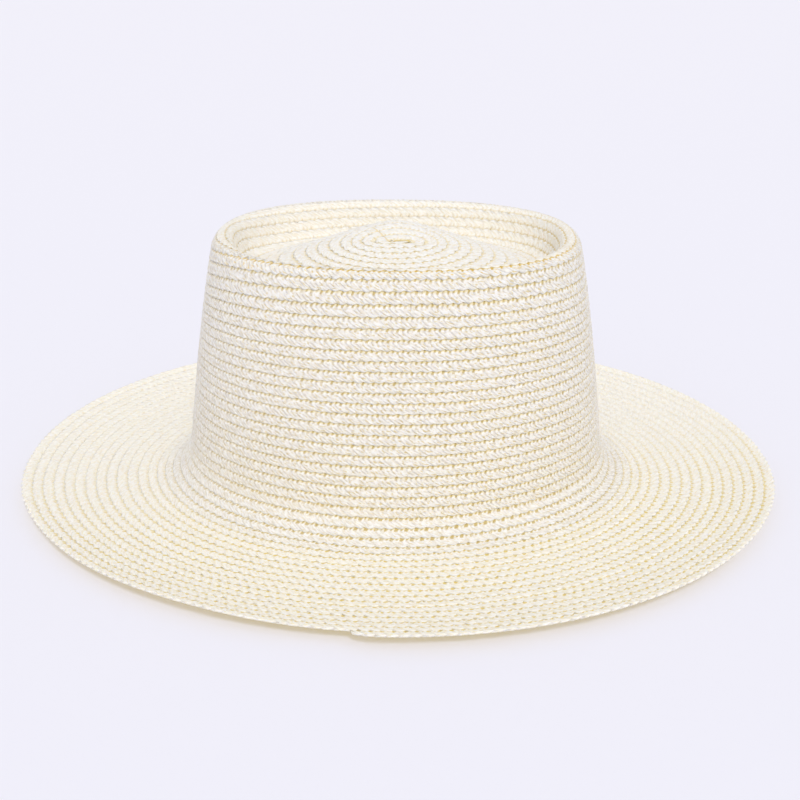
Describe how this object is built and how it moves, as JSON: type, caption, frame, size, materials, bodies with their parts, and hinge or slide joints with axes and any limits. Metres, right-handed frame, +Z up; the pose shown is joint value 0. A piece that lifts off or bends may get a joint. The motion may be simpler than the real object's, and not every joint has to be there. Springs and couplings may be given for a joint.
{
  "type": "wide-brim straw hat",
  "caption": "Wide-brim straw hat with a tapered crown, a rolled rim round a sunken tip with a low dome, and an oval brim whose edge turns up a little.",
  "frame": {"origin": "on the surface the hat stands on, under the middle of the brim's outline", "axes": "+Z up out of the crown, +X along the head's long axis, +Y along its short axis"},
  "size_m": [0.3666, 0.3402, 0.1227],
  "materials": {
    "tip_straw": "plaited paper straw braid sewn in a spiral, matt cream with golden hollows",
    "crown_straw": "plaited paper straw braid sewn in a spiral, matt cream with golden hollows",
    "brim_straw": "plaited paper straw braid sewn in a spiral, matt cream with golden hollows"
  },
  "bodies": {
    "root": {"crown_tip": "tip_straw", "side_crown": "crown_straw", "brim": "brim_straw"}
  },
  "joints": []
}
